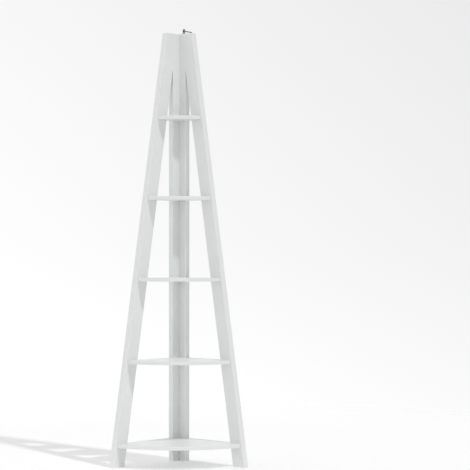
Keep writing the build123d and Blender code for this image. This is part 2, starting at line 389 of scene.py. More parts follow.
def sink_cutter(side, reach, z):
    """Cutter for one countersunk through hole, entered from the wall side."""
    wide, narrow = screw_head + screw_play, screw_shank + screw_play
    beyond = 1 * MM
    slope = (wide - narrow) / screw_head_height
    profile = [(0, -beyond), (wide + slope * beyond, -beyond), (narrow, screw_head_height),
               (narrow, board_thickness + beyond), (0, board_thickness + beyond)]
    return lathe(profile, at(side, reach, 0, z), inward(side))


print("countersinks are", round(2 * (screw_head + screw_play) / MM, 2), "mm wide")

# %% Softened edges, holes and one board
edge_round = 1.5 * MM
END, SEAM, SHARP = 0.6, 0.25, 0.0      # share of the full round: sawn ends, open and glued seams
EDGE_ON, FLAT_ON = 0.05, 0.995         # cosines to the thin axis between which a face is rubbed


def soften(piece, width):
    """Round the weighted edges."""
    bevel = piece.modifiers.new("softened edges", "BEVEL")
    bevel.limit_method = "WEIGHT"
    bevel.width = width
    bevel.segments = 4
    bevel.use_clamp_overlap = False
    return settle(piece)


def cut(piece, cutter_mesh):
    """Take the cutters' shape out of the piece."""
    cutter = new_object("cutter", cutter_mesh)
    boolean = piece.modifiers.new("holes", "BOOLEAN")
    boolean.operation = "DIFFERENCE"
    boolean.solver = "EXACT"
    boolean.object = cutter
    settle(piece)
    bpy.data.objects.remove(cutter)


def shade(piece, sharp_angle=40):
    """Smooth over the rounds, flat on the flats."""
    piece.data.shade_smooth()
    piece.data.set_sharp_from_angle(angle=radians(sharp_angle))
    weighted = piece.modifiers.new("flat faces stay flat", "WEIGHTED_NORMAL")
    weighted.keep_sharp = True
    settle(piece)


def mark_rub(piece, thin_axis):
    """Set rub to 1 on faces that lean between the flat side and the edge of a board."""
    rub = piece.data.attributes.new("rub", "FLOAT", "FACE")
    marked = 0
    for face in piece.data.polygons:
        rubbed = EDGE_ON < abs(face.normal.dot(thin_axis)) < FLAT_ON
        rub.data[face.index].value = float(rubbed)
        marked += rubbed
    return marked


def make_board(name, side, outline, weights, holes):
    """A board against one wall, from an outline of (reach, height) pairs. weights[i] softens the
    two edges from point i to the next. The edge through the thickness at a point gets the smaller
    weight of the two beside it."""
    solid = bmesh.new()
    weight = solid.edges.layers.float.new("bevel_weight_edge")
    faces = [[solid.verts.new(at(side, reach, depth, z)) for reach, z in outline]
             for depth in (0, board_thickness)]
    near, far = faces
    solid.faces.new(near)
    solid.faces.new(far)
    count = len(outline)
    for i in range(count):
        j = (i + 1) % count
        solid.faces.new((near[i], near[j], far[j], far[i]))
    bmesh.ops.recalc_face_normals(solid, faces=solid.faces)
    for i in range(count):
        j = (i + 1) % count
        for ring in faces:
            solid.edges.get((ring[i], ring[j]))[weight] = weights[i]
        solid.edges.get((near[i], far[i]))[weight] = min(weights[i], weights[i - 1])
    mesh = bpy.data.meshes.new(name)
    solid.to_mesh(mesh)
    solid.free()
    board = soften(new_object(name, mesh), edge_round)
    cut(board, join_meshes([sink_cutter(side, reach, z) for reach, z in holes], "holes"))
    shade(board)
    rubbed = mark_rub(board, inward(side))
    board.data.materials.append(lacquer)
    print(name, "has", len(board.data.polygons), "faces,", rubbed, "rubbed,", volume(board), "cm3")
    return board


print("long edges are rounded by", round(edge_round / MM, 2), "mm")

# %% [markdown]
# ### Legs
# Each leg is cut level at the foot and the top. Above the joint its back edge is cut upright,
# where it is glued to the post, so that stretch stays square.

# %% Make the legs
leg_outline = [(foot_reach, 0), (foot_reach - leg_width, 0), (board_width, joint_height),
               (board_width, height), (top_reach, height)]
leg_weights = [END, 1.0, SHARP, END, 1.0]
boards = {}
for side, name in side_names.items():
    holes = [place for places in leg_screws.values() for place in places]
    boards[name + "_leg"] = make_board(name + "_leg_board", side, leg_outline, leg_weights, holes)

# %% [markdown]
# ### Post
# The right half of the post is a full board that passes behind the left half, and the left half
# is narrower by one thickness, so that both stand out equally. The post's front edges are round
# up to the joint with the legs and square above it, where the legs are glued on.

# %% Make the two halves of the post
for side, name in side_names.items():
    start = 0.0 if side == RIGHT else board_thickness
    outline = [(start, 0), (board_width, 0), (board_width, joint_height), (board_width, height),
               (start, height)]
    weights = [END, 1.0, SHARP, END, SEAM]
    holes = [place for places in post_screws.values() for place in places]
    if side == RIGHT:
        holes += joining_screws
    boards[name + "_upright"] = make_board(name + "_upright_board", side, outline, weights, holes)

# %% [markdown]
# ## Shelves by rule
# All five shelves follow one rule: a quarter disc about the corner whose radius shrinks with
# height as the legs lean in, notched round the post and round both legs, with a small gap to the
# walls. A rule like that suits Geometry Nodes. The tree works in the walls' own directions, left
# wall along X and right wall along Y, with the shelf's middle at height zero. It cuts the left
# wall's notches and screw holes and turns them about the diagonal for the right wall, then
# turns the finished shelf into its corner. The curved front is sanded to a 2 mm round and the
# other edges are only broken, so the tree leaves a bevel weight on each edge.

# %% Start a tree with named sizes
def new_tree(name, sizes, material=True):
    """An empty Geometry Nodes tree; returns it with the sockets of its inputs."""
    tree = bpy.data.node_groups.new(name, "GeometryNodeTree")
    tree.interface.new_socket("Geometry", in_out="INPUT", socket_type="NodeSocketGeometry")
    for label in sizes:
        tree.interface.new_socket(label, in_out="INPUT", socket_type="NodeSocketFloat")
    if material:
        tree.interface.new_socket("Material", in_out="INPUT", socket_type="NodeSocketMaterial")
    tree.interface.new_socket("Geometry", in_out="OUTPUT", socket_type="NodeSocketGeometry")
    return tree, add(tree, "NodeGroupInput").outputs


def run_tree(piece, tree, values):
    """Give the object the tree with its values, and keep the result as a plain mesh."""
    modifier = piece.modifiers.new(tree.name, "NODES")
    modifier.node_group = tree
    for item in tree.interface.items_tree:
        if item.in_out == "INPUT" and item.name in values:
            modifier[item.identifier] = values[item.name]
    return settle(piece)


# %% Work out the shelf's lengths in its tree
ARC_POINTS = 384                       # points on the full circle, 96 on a shelf's front
ARC_BAND = 0.2 * MM                    # points this near the radius count as on the arc
FAR = 1.0                              # cutters reach this far, well past the shelf
shelf_sizes = ("Top", "Thickness", "Foot Reach", "Lean", "Setback", "Leg Width",
               "Board Thickness", "Board Width", "Wall Gap", "Notch Gap", "Screw Spacing",
               "Leg Screw Depth", "Post Screw Depth", "Post Screw Reach", "Hole Radius",
               "Corner Y")
shelf_tree, size = new_tree("notched quarter shelf", shelf_sizes)
length = {label: size[label] for label in shelf_sizes}
for name, operation, first, second in (
        ("fall", "MULTIPLY", "Lean", "Top"),
        ("front", "SUBTRACT", "Foot Reach", "fall"),
        ("radius", "SUBTRACT", "front", "Setback"),
        ("back", "SUBTRACT", "front", "Leg Width"),
        ("leg notch", "SUBTRACT", "back", "Notch Gap"),
        ("leg notch middle", "ADD", "leg notch", FAR / 2),
        ("post notch", "ADD", "Board Width", "Notch Gap"),
        ("post notch across", "MULTIPLY", "post notch", 2.0),
        ("board across", "MULTIPLY", "Board Thickness", 2.0),
        ("quarter middle", "ADD", "Wall Gap", FAR / 2),
        ("both ends", "ADD", "back", "radius"),
        ("half way", "MULTIPLY", "both ends", 0.5),
        ("screws' middle", "SUBTRACT", "half way", leg_screw_shift),
        ("half spacing", "MULTIPLY", "Screw Spacing", 0.5),
        ("inner screw", "SUBTRACT", "screws' middle", "half spacing"),
        ("outer screw", "ADD", "screws' middle", "half spacing"),
        ("half thickness", "MULTIPLY", "Thickness", 0.5),
        ("middle height", "SUBTRACT", "Top", "half thickness"),
        ("arc limit", "SUBTRACT", "radius", ARC_BAND)):
    terms = {0: length.get(first, first), 1: length.get(second, second)}
    length[name] = add(shelf_tree, "ShaderNodeMath", terms, operation=operation)
print("the shelf's tree works out", len(length) - len(shelf_sizes), "lengths")

# %% Cut the shelf's outline and screw holes
points = {}
for name, x, y, z in (
        ("quarter", "quarter middle", "quarter middle", 0.0),
        ("leg notch size", FAR, "board across", FAR),
        ("leg notch place", "leg notch middle", 0.0, 0.0),
        ("post notch size", "post notch across", "board across", FAR),
        ("inner hole", "inner screw", "Leg Screw Depth", 0.0),
        ("outer hole", "outer screw", "Leg Screw Depth", 0.0),
        ("post hole", "Post Screw Reach", "Post Screw Depth", 0.0),
        ("in the corner", 0.0, "Corner Y", "middle height")):
    inputs = {"X": length.get(x, x), "Y": length.get(y, y), "Z": length.get(z, z)}
    points[name] = add(shelf_tree, "ShaderNodeCombineXYZ", inputs)

disc = add(shelf_tree, "GeometryNodeMeshCylinder",
           {"Vertices": ARC_POINTS, "Radius": length["radius"], "Depth": size["Thickness"]})
quarter_block = add(shelf_tree, "GeometryNodeMeshCube", {"Size": (FAR, FAR, FAR)})
quarter_room = add(shelf_tree, "GeometryNodeTransform",
                   {"Geometry": quarter_block, "Translation": points["quarter"]})
quarter = add(shelf_tree, "GeometryNodeMeshBoolean",
              {"Mesh 2": [disc, quarter_room]},
              operation="INTERSECT", solver="EXACT")
post_block = add(shelf_tree, "GeometryNodeMeshCube", {"Size": points["post notch size"]})
leg_block = add(shelf_tree, "GeometryNodeMeshCube", {"Size": points["leg notch size"]})
leg_room = add(shelf_tree, "GeometryNodeTransform",
               {"Geometry": leg_block, "Translation": points["leg notch place"]})
notches = [post_block, leg_room]
for hole in ("inner hole", "outer hole", "post hole"):
    # A hole runs as far past the board's face as its mouth is deep, so it always opens.
    depth = length["Post Screw Depth" if hole == "post hole" else "Leg Screw Depth"]
    drill = add(shelf_tree, "GeometryNodeMeshCylinder",
                {"Vertices": 16, "Radius": size["Hole Radius"], "Depth": depth})
    drilled = add(shelf_tree, "GeometryNodeTransform",
                  {"Geometry": drill, "Rotation": (radians(90), 0, 0),
                   "Translation": points[hole]})
    notches.append(drilled)
left_cuts = add(shelf_tree, "GeometryNodeJoinGeometry", {"Geometry": notches[::-1]})
half_turn = add(shelf_tree, "FunctionNodeAxisAngleToRotation",
                {"Axis": (1.0, 1.0, 0.0), "Angle": pi})
euler = add(shelf_tree, "FunctionNodeRotationToEuler", {"Rotation": half_turn})
right_cuts = add(shelf_tree, "GeometryNodeTransform", {"Geometry": left_cuts, "Rotation": euler})
notched = add(shelf_tree, "GeometryNodeMeshBoolean",
              {"Mesh 1": quarter,
               "Mesh 2": [left_cuts, right_cuts],
               "Self Intersection": True}, operation="DIFFERENCE", solver="EXACT")

# %% Weigh the shelf's edges and set it in its corner
FRONT_WEIGHT, BROKEN_WEIGHT = 1.0, 0.25
LEVEL_RISE, SHORT_EDGE, CORNER_ANGLE = 0.1 * MM, 5 * MM, radians(60)
here = add(shelf_tree, "GeometryNodeInputPosition")
level = add(shelf_tree, "ShaderNodeVectorMath", {0: here, 1: (1.0, 1.0, 0.0)},
            operation="MULTIPLY")
reach = add(shelf_tree, "ShaderNodeVectorMath", {0: level}, operation="LENGTH")
ends = add(shelf_tree, "GeometryNodeInputMeshEdgeVertices").outputs
run = add(shelf_tree, "ShaderNodeVectorMath",
          {0: ends["Position 1"], 1: ends["Position 2"]}, operation="SUBTRACT")
rise = add(shelf_tree, "ShaderNodeSeparateXYZ", {0: run}).outputs["Z"]
steepness = add(shelf_tree, "ShaderNodeMath", {0: rise}, operation="ABSOLUTE")
edge_length = add(shelf_tree, "ShaderNodeVectorMath", {0: run}, operation="LENGTH")
angle = add(shelf_tree, "GeometryNodeInputMeshEdgeAngle").outputs["Unsigned Angle"]
tests = {}
for name, operation, first, second in (
        ("on the arc", "GREATER_THAN", reach, length["arc limit"]),
        ("level", "LESS_THAN", steepness, LEVEL_RISE),
        ("corner", "GREATER_THAN", angle, CORNER_ANGLE),
        ("long", "GREATER_THAN", edge_length, SHORT_EDGE)):
    tests[name] = add(shelf_tree, "ShaderNodeMath", {0: first, 1: second}, operation=operation)
weights = {}
for name, first, second, share in (
        ("front", tests["on the arc"], tests["level"], FRONT_WEIGHT),
        ("broken", tests["corner"], tests["long"], BROKEN_WEIGHT)):
    both = add(shelf_tree, "ShaderNodeMath", {0: first, 1: second}, operation="MULTIPLY")
    weights[name] = add(shelf_tree, "ShaderNodeMath", {0: both, 1: share}, operation="MULTIPLY")
weight = add(shelf_tree, "ShaderNodeMath", {0: weights["front"], 1: weights["broken"]},
             operation="MAXIMUM")
weighed = add(shelf_tree, "GeometryNodeStoreNamedAttribute",
              {"Geometry": notched, "Name": "bevel_weight_edge", "Value": weight},
              data_type="FLOAT", domain="EDGE")
in_place = add(shelf_tree, "GeometryNodeTransform",
               {"Geometry": weighed, "Rotation": (0, 0, radians(225)),
                "Translation": points["in the corner"]})
real = add(shelf_tree, "GeometryNodeRealizeInstances", {"Geometry": in_place})
painted = add(shelf_tree, "GeometryNodeSetMaterial",
              {"Geometry": real, "Material": size["Material"]})
add(shelf_tree, "NodeGroupOutput", {"Geometry": painted})
print("the shelf's tree has", len(shelf_tree.nodes), "nodes")

# %% Make the five shelves
shelf_round = 2 * MM
wall_gap, notch_gap = 3 * MM, 0.5 * MM
for name, top in shelf_tops.items():
    shelf = new_object(name + "_shelf_board", bpy.data.meshes.new(name + "_shelf_board"))
    run_tree(shelf, shelf_tree, {
        "Top": top, "Thickness": shelf_thickness, "Foot Reach": foot_reach, "Lean": lean,
        "Setback": shelf_setback, "Leg Width": leg_width, "Board Thickness": board_thickness,
        "Board Width": board_width, "Wall Gap": wall_gap, "Notch Gap": notch_gap,
        "Screw Spacing": leg_screw_spacing, "Leg Screw Depth": leg_screw_length / 2,
        "Post Screw Depth": post_screw_length / 2, "Post Screw Reach": post_screw_reach,
        "Hole Radius": screw_shank + screw_play, "Corner Y": corner_y, "Material": lacquer})
    soften(shelf, shelf_round)
    shade(shelf)
    rubbed = mark_rub(shelf, Vector((0, 0, 1)))
    boards[name + "_shelf"] = shelf
    print(shelf.name, len(shelf.data.polygons), "faces,", rubbed, "rubbed,", volume(shelf), "cm3")

# %% [markdown]
# ## Screws
# A screw is a rule through and through: a shaft with a thread at a fixed pitch and a head turned
# about the same axis. The thread is made from a flat grid. Each row of the grid becomes one line
# of the helix, so every fourth row can be the crest and the others the root, and after one turn
# a row lands exactly on a later row's start, where the two are merged. The rows past either end
# are gathered in a point, which closes the shaft. The shaft's own axis is Z, from the head to
# the tip, and its sizes are the inputs of a tree that both kinds of head share.

# %% Build the threaded shaft's tree
AROUND = 20                            # points round a shaft
ROWS = 4                               # rows of the grid to one turn of the thread
LEAD_IN = 2                            # turns before the shaft, so that its end closes all round
ACROSS_AXIS = (("turned", "MULTIPLY", "u", 2 * pi),         # u and a radius as x and y
               ("cosine", "COSINE", "turned"),
               ("sine", "SINE", "turned"),
               ("x", "MULTIPLY", "radius here", "cosine"),
               ("y", "MULTIPLY", "radius here", "sine"))
thread_sizes = ("Radius", "Length", "Tip", "Neck", "Pitch", "Ridge", "Point")
thread_tree, size = new_tree("threaded shaft", thread_sizes, material=False)
grid_rows = add(thread_tree, "ShaderNodeMath", {0: size["Length"], 1: size["Pitch"]},
                operation="DIVIDE")
row_count = add(thread_tree, "ShaderNodeMath",
                {0: grid_rows, 1: ROWS, 2: (LEAD_IN + 1) * ROWS + 1},
                operation="MULTIPLY_ADD")
whole_rows = add(thread_tree, "ShaderNodeMath", {0: row_count}, operation="CEIL")
grid = add(thread_tree, "GeometryNodeMeshGrid",
           {"Size X": 1.0, "Size Y": 1.0, "Vertices X": AROUND + 1,
            "Vertices Y": whole_rows})
share = add(thread_tree, "ShaderNodeSeparateXYZ", {0: grid.outputs["UV Map"]}).outputs
known = {label: size[label] for label in thread_sizes}
known.update({"u": share["X"], "v": share["Y"], "rows": whole_rows})
for name, operation, *terms in (
        ("last row", "SUBTRACT", "rows", 1.0),
        ("row", "MULTIPLY", "v", "last row"),
        ("row turn", "DIVIDE", "row", float(ROWS)),
        ("turn", "ADD", "row turn", "u"),
        ("turns along", "SUBTRACT", "turn", float(LEAD_IN)),
        ("free distance", "MULTIPLY", "turns along", "Pitch"),
        ("past start", "MAXIMUM", "free distance", 0.0),
        ("distance", "MINIMUM", "past start", "Length"),
        ("nudged", "ADD", "row turn", 0.01),
        ("phase", "FRACT", "nudged"),
        ("crest", "LESS_THAN", "phase", 0.1),
        ("ridge row", "MULTIPLY", "crest", "Ridge"),
        ("past neck", "SUBTRACT", "distance", "Neck"),
        ("thread starts", "DIVIDE", "past neck", "Pitch"),
        ("fade floor", "MAXIMUM", "thread starts", 0.0),
        ("fade", "MINIMUM", "fade floor", 1.0),
        ("ridge", "MULTIPLY", "ridge row", "fade"),
        ("root", "SUBTRACT", "Radius", "Ridge"),
        ("full radius", "ADD", "root", "ridge"),
        ("left to go", "SUBTRACT", "Length", "distance"),
        ("tip share", "DIVIDE", "left to go", "Tip"),
        ("taper", "MINIMUM", "tip share", 1.0),
        ("tapered", "MULTIPLY", "full radius", "taper"),
        ("not too thin", "MAXIMUM", "tapered", "Point"),
        ("half pitch", "MULTIPLY", "Pitch", 0.5),
        ("start line", "MULTIPLY", "half pitch", -1.0),
        ("end line", "ADD", "Length", "half pitch"),
        ("after start", "GREATER_THAN", "free distance", "start line"),
        ("before end", "LESS_THAN", "free distance", "end line"),
        ("on the shaft", "MULTIPLY", "after start", "before end"),
        ("radius here", "MULTIPLY", "not too thin", "on the shaft"),
        *ACROSS_AXIS):
    inputs = {i: known.get(term, term) for i, term in enumerate(terms)}
    known[name] = add(thread_tree, "ShaderNodeMath", inputs, operation=operation)
helix = add(thread_tree, "ShaderNodeCombineXYZ",
            {"X": known["x"], "Y": known["y"], "Z": known["distance"]})
wrapped = add(thread_tree, "GeometryNodeSetPosition", {"Geometry": grid, "Position": helix})
closed = add(thread_tree, "GeometryNodeMergeByDistance",
             {"Geometry": wrapped, "Distance": 0.01 * MM})
add(thread_tree, "NodeGroupOutput", {"Geometry": closed})
print("the shaft's tree has", len(thread_tree.nodes), "nodes")

# %% [markdown]
# ### Two kinds of head
# The furniture screws have flat heads that sink into the boards, with a hexagonal socket whose
# mouth is slightly flared. The wall fixing's screws have domed pan heads with a cross recess. A
# tree for each puts the head on the shared shaft, takes the recess out and places the screw on
# each point it is given, pointing the way that the point's drive attribute says. The dome is
# again a grid turned about the axis: its rows climb a quarter ellipse and then close underneath.

# %% Finish a screw tree: place, realise, finish
def place_screws(tree, size, screw):
    """The end of both trees: the screw on every point, as real mesh with its material."""
    drive = add(tree, "GeometryNodeInputNamedAttribute", {"Name": "drive"},
                data_type="FLOAT_VECTOR").outputs["Attribute"]
    turn = add(tree, "FunctionNodeAlignRotationToVector", {"Vector": drive}, axis="Z")
    placed = add(tree, "GeometryNodeInstanceOnPoints",
                 {"Points": size["Geometry"], "Instance": screw,
                  "Rotation": turn})
    real = add(tree, "GeometryNodeRealizeInstances", {"Geometry": placed})
    plated = add(tree, "GeometryNodeSetMaterial", {"Geometry": real, "Material": size["Material"]})
    add(tree, "NodeGroupOutput", {"Geometry": plated})


# %% Build the flat-head tree
INTO_HEAD = 0.05 * MM                  # the shaft starts this far inside its head
MOUTH, THROAT = 1.25, 0.85             # radii of the flare over the socket's
flat_sizes = thread_sizes + ("Head Radius", "Head Height", "Socket Radius", "Socket Depth")
flat_tree, size = new_tree("flat-head screw", flat_sizes)
cone = add(flat_tree, "GeometryNodeMeshCone",
           {"Vertices": 40, "Radius Top": size["Radius"], "Radius Bottom": size["Head Radius"],
            "Depth": size["Head Height"]})
twice_deep, mouth, throat = [
    add(flat_tree, "ShaderNodeMath", {0: size[label], 1: share}, operation="MULTIPLY")
    for label, share in (
        ("Socket Depth", 2.0), ("Socket Radius", MOUTH), ("Socket Radius", THROAT))]
socket = add(flat_tree, "GeometryNodeMeshCylinder",
             {"Vertices": 6, "Radius": size["Socket Radius"], "Depth": twice_deep})
flare = add(flat_tree, "GeometryNodeMeshCone",
            {"Vertices": 40, "Radius Top": throat, "Radius Bottom": mouth,
             "Depth": 0.6 * MM})
raised = add(flat_tree, "GeometryNodeTransform",
             {"Geometry": flare, "Translation": (0, 0, -0.1 * MM)})
head = add(flat_tree, "GeometryNodeMeshBoolean",
           {"Mesh 1": cone,
            "Mesh 2": [socket, raised]},
           operation="DIFFERENCE", solver="EXACT")
shaft_start = add(flat_tree, "ShaderNodeMath", {0: size["Head Height"], 1: INTO_HEAD},
                  operation="SUBTRACT")
start = add(flat_tree, "ShaderNodeCombineXYZ", {"Z": shaft_start})
threaded = add(flat_tree, "GeometryNodeGroup",
               {label: size[label] for label in thread_sizes}, node_tree=thread_tree)
shaft = add(flat_tree, "GeometryNodeTransform", {"Geometry": threaded, "Translation": start})
screw = add(flat_tree, "GeometryNodeJoinGeometry", {"Geometry": [head, shaft]})
place_screws(flat_tree, size, screw)
print("the flat-head tree has", len(flat_tree.nodes), "nodes")

# %% Build the pan-head tree
DOME_ROWS = 12                         # ten up the dome, one at the seat, one to close it
pan_sizes = thread_sizes + ("Head Radius", "Head Height", "Rim", "Cross Width", "Cross Depth")
pan_tree, size = new_tree("pan-head screw", pan_sizes)
grid = add(pan_tree, "GeometryNodeMeshGrid",
           {"Size X": 1.0, "Size Y": 1.0, "Vertices X": 33, "Vertices Y": DOME_ROWS})
share = add(pan_tree, "ShaderNodeSeparateXYZ", {0: grid.outputs["UV Map"]}).outputs
known = {label: size[label] for label in pan_sizes}
known.update({"u": share["X"], "v": share["Y"]})
for name, operation, *terms in (
        ("row", "MULTIPLY", "v", DOME_ROWS - 1.0),
        ("climb", "MULTIPLY", "row", pi / 18),
        ("arc", "MINIMUM", "climb", pi / 2),
        ("spread", "SINE", "arc"),
        ("open row", "LESS_THAN", "row", DOME_ROWS - 1.5),
        ("wide", "MULTIPLY", "spread", "Head Radius"),
        ("radius here", "MULTIPLY", "wide", "open row"),
        ("dome", "SUBTRACT", "Head Height", "Rim"),
        ("drop", "COSINE", "arc"),
        ("above rim", "MULTIPLY", "dome", "drop"),
        ("above seat", "ADD", "above rim", "Rim"),
        ("raised row", "LESS_THAN", "row", DOME_ROWS - 2.5),
        ("stand", "MULTIPLY", "above seat", "raised row"),
        ("z", "MULTIPLY", "stand", -1.0),
        *ACROSS_AXIS,
        ("cross length", "MULTIPLY", "Head Radius", 1.2),
        ("cross height", "MULTIPLY", "Cross Depth", 2.0),
        ("crown", "MULTIPLY", "Head Height", -1.0)):
    inputs = {i: known.get(term, term) for i, term in enumerate(terms)}
    known[name] = add(pan_tree, "ShaderNodeMath", inputs, operation=operation)
dome_place = add(pan_tree, "ShaderNodeCombineXYZ",
                 {"X": known["x"], "Y": known["y"], "Z": known["z"]})
wrapped = add(pan_tree, "GeometryNodeSetPosition", {"Geometry": grid, "Position": dome_place})
dome = add(pan_tree, "GeometryNodeMergeByDistance", {"Geometry": wrapped, "Distance": 0.01 * MM})
crown = add(pan_tree, "ShaderNodeCombineXYZ", {"Z": known["crown"]})
slots = []
for x, y in (("cross length", "Cross Width"), ("Cross Width", "cross length")):
    slot_size = add(pan_tree, "ShaderNodeCombineXYZ",
                    {"X": known[x], "Y": known[y], "Z": known["cross height"]})
    block = add(pan_tree, "GeometryNodeMeshCube", {"Size": slot_size})
    slot = add(pan_tree, "GeometryNodeTransform", {"Geometry": block, "Translation": crown})
    slots.append(slot)
head = add(pan_tree, "GeometryNodeMeshBoolean",
           {"Mesh 1": dome, "Mesh 2": slots},
           operation="DIFFERENCE", solver="EXACT")
threaded = add(pan_tree, "GeometryNodeGroup",
               {label: size[label] for label in thread_sizes}, node_tree=thread_tree)
shaft = add(pan_tree, "GeometryNodeTransform",
            {"Geometry": threaded, "Translation": (0, 0, -INTO_HEAD)})
screw = add(pan_tree, "GeometryNodeJoinGeometry", {"Geometry": [head, shaft]})
place_screws(pan_tree, size, screw)
print("the pan-head tree has", len(pan_tree.nodes), "nodes")

# %% [markdown]
# ### Driving the screws
# Every set of screws is a mesh of loose points with the drive direction on each. The furniture
# screws have a coarse 3 mm pitch that holds in board; the two screws of the wall fixing are
# finer. What differs from set to set is only the points and the length.

# %% Make the screws
point_radius = 0.4 * MM
furniture_thread = {"Radius": screw_shank, "Tip": 4 * MM, "Neck": 0.5 * MM, "Pitch": 3 * MM,
                    "Ridge": 0.6 * MM, "Point": point_radius}
flat_head = {"Head Radius": screw_head, "Head Height": screw_head_height,
             "Socket Radius": 1.75 * MM, "Socket Depth": 2.2 * MM}


def drive_screws(name, points, tree, values):
    """A set of screws from (head's place, direction) pairs."""
    mesh = bpy.data.meshes.new(name)
    mesh.from_pydata([place for place, _ in points], [], [])
    drive = mesh.attributes.new("drive", "FLOAT_VECTOR", "POINT")
    for i, (_, direction) in enumerate(points):
        drive.data[i].vector = direction
    screws = run_tree(new_object(name, mesh), tree, values)
    screws.data.shade_smooth()
    screws.data.set_sharp_from_angle(angle=radians(35))
    print(name, len(points), "screws,", len(screws.data.polygons), "faces,", volume(screws), "cm3")
    return screws


screw_sets = {}
for name in shelf_names:
    for kind, places, length in (("leg", leg_screws[name], leg_screw_length),
                                 ("post", post_screws[name], post_screw_length)):
        points = [(at(side, reach, 0, z), inward(side))
                  for side in side_names for reach, z in places]
        sizes = {**furniture_thread, **flat_head, "Length": length - screw_head_height,
                 "Material": bright_zinc}
        node = f"{name}_shelf_{kind}_screws"
        screw_sets[node] = drive_screws(node + "_threaded", points, flat_tree, sizes)
points = [(at(RIGHT, reach, 0, z), inward(RIGHT)) for reach, z in joining_screws]
sizes = {**furniture_thread, **flat_head, "Length": leg_screw_length - screw_head_height,
         "Material": bright_zinc}
screw_sets["upright_joining_screws"] = drive_screws(
    "upright_joining_screws_threaded", points, flat_tree, sizes)

# %% [markdown]
# ## Wall fixing
# A small bent strip stands on top of the right half of the post, and a long screw through it
# holds the whole unit to the wall. Such a strip is stamped flat, with round ends and two holes,
# and then bent. It is made here the same way round: a row of cross-sections follows the foot,
# the bend and the upright leg, the four corners at the free ends are rounded through the
# thickness, the holes are cut, and last the stamped edges are broken by a quarter of a
# millimetre, which is what catches the light on real stampings.

# %% Make the bent strip
strip_thickness, strip_width = 2 * MM, 14 * MM
strip_rise, strip_foot = 25 * MM, 17 * MM
strip_reach = 29 * MM                  # its middle, from the corner along the right wall
bend_radius = 1.5 * MM                 # inside the bend
strip_corner = 5 * MM
wall_screw_height = 15 * MM            # above the top of the board
bracket_screw_inset = 10.5 * MM        # from the wall
wall_screw_hole, bracket_screw_hole = 2.25 * MM, 2 * MM
stamped_edge = 0.25 * MM
BEND_STEPS = 8


def strip_sections():
    """Pairs of (depth, height) for the outer and inner skin, from the foot's end to the top."""
    outer_bend = bend_radius + strip_thickness
    sections = [((strip_foot, 0.0), (strip_foot, strip_thickness))]
    for step in range(BEND_STEPS + 1):
        turn = pi / 2 * step / BEND_STEPS
        away, down = sin(turn), cos(turn)
        sections.append(tuple((outer_bend - away * r, outer_bend - down * r)
                              for r in (outer_bend, bend_radius)))
    sections.append(((0.0, strip_rise), (strip_thickness, strip_rise)))
    return sections


def make_strip(name):
    solid = bmesh.new()
    rings = []
    for outer, inner in strip_sections():
        near, far = strip_reach - strip_width / 2, strip_reach + strip_width / 2
        corners = ((near, outer), (far, outer), (far, inner), (near, inner))
        rings.append([solid.verts.new(at(RIGHT, reach, depth, height + z))
                      for reach, (depth, z) in corners])
    for low, high in zip(rings, rings[1:]):
        for i in range(4):
            j = (i + 1) % 4
            solid.faces.new((low[i], low[j], high[j], high[i]))
    solid.faces.new(rings[0])
    solid.faces.new(rings[-1])
    bmesh.ops.recalc_face_normals(solid, faces=solid.faces)
    free_corners = [solid.edges.get((ring[i], ring[3 - i]))
                    for ring in (rings[0], rings[-1]) for i in (0, 1)]
    bmesh.ops.bevel(solid, geom=free_corners, offset=strip_corner, segments=8, profile=0.5,
                    affect="EDGES", clamp_overlap=False)
    mesh = bpy.data.meshes.new(name)
    solid.to_mesh(mesh)
    solid.free()
    strip = new_object(name, mesh)
    past = 5 * MM
    drills = [lathe([(0, -past), (radius, -past), (radius, past), (0, past)], place, direction)
              for radius, place, direction in (
                  (wall_screw_hole, at(RIGHT, strip_reach, 0, height + wall_screw_height),
                   inward(RIGHT)),
                  (bracket_screw_hole, at(RIGHT, strip_reach, bracket_screw_inset, height),
                   Vector((0, 0, 1))))]
    cut(strip, join_meshes(drills, "drills"))
    broken = strip.modifiers.new("broken edges", "BEVEL")
    broken.limit_method = "ANGLE"
    broken.angle_limit = radians(50)
    broken.width = stamped_edge
    broken.segments = 2
    broken.use_clamp_overlap = False
    settle(strip)
    shade(strip, 50)
    strip.data.materials.append(dull_zinc)
    print(name, len(strip.data.polygons), "faces,", volume(strip), "cm3")
    return strip


strip = make_strip("wall_bracket_strip")

# %% Drive the two screws of the wall fixing
fine_thread = {"Tip": 4 * MM, "Neck": 2.5 * MM, "Ridge": 0.4 * MM, "Point": point_radius,
               "Head Height": 2.4 * MM, "Rim": 0.8 * MM, "Cross Width": 1 * MM,
               "Cross Depth": 1.4 * MM}
wall_seat = at(RIGHT, strip_reach, strip_thickness, height + wall_screw_height)
screw_sets["wall_screw"] = drive_screws(
    "wall_screw_threaded", [(wall_seat, -inward(RIGHT))], pan_tree,
    {**fine_thread, "Radius": 2 * MM, "Length": 50 * MM, "Pitch": 1.8 * MM,
     "Head Radius": 4 * MM, "Material": phosphate})
strip_seat = at(RIGHT, strip_reach, bracket_screw_inset, height + strip_thickness)
screw_sets["bracket_screw"] = drive_screws(
    "bracket_screw_threaded", [(strip_seat, Vector((0, 0, -1)))], pan_tree,
    {**fine_thread, "Radius": 1.75 * MM, "Length": 16 * MM, "Pitch": 1.6 * MM,
     "Head Radius": 3.4 * MM, "Material": dull_zinc})

# %% [markdown]
# ## What each piece stands for
# Every new piece replaces the measured piece that it was made from and rides on the one body
# that the whole unit is. The dowels stay as measured.

# %% Hand the pieces over
for node, piece in boards.items():
    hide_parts(node)
    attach(piece, "root")
for node, piece in screw_sets.items():
    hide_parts(node)
    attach(piece, "root")
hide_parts("wall_bracket")
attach(strip, "root")
print(len(boards) + len(screw_sets) + 1, "pieces replace measured ones")

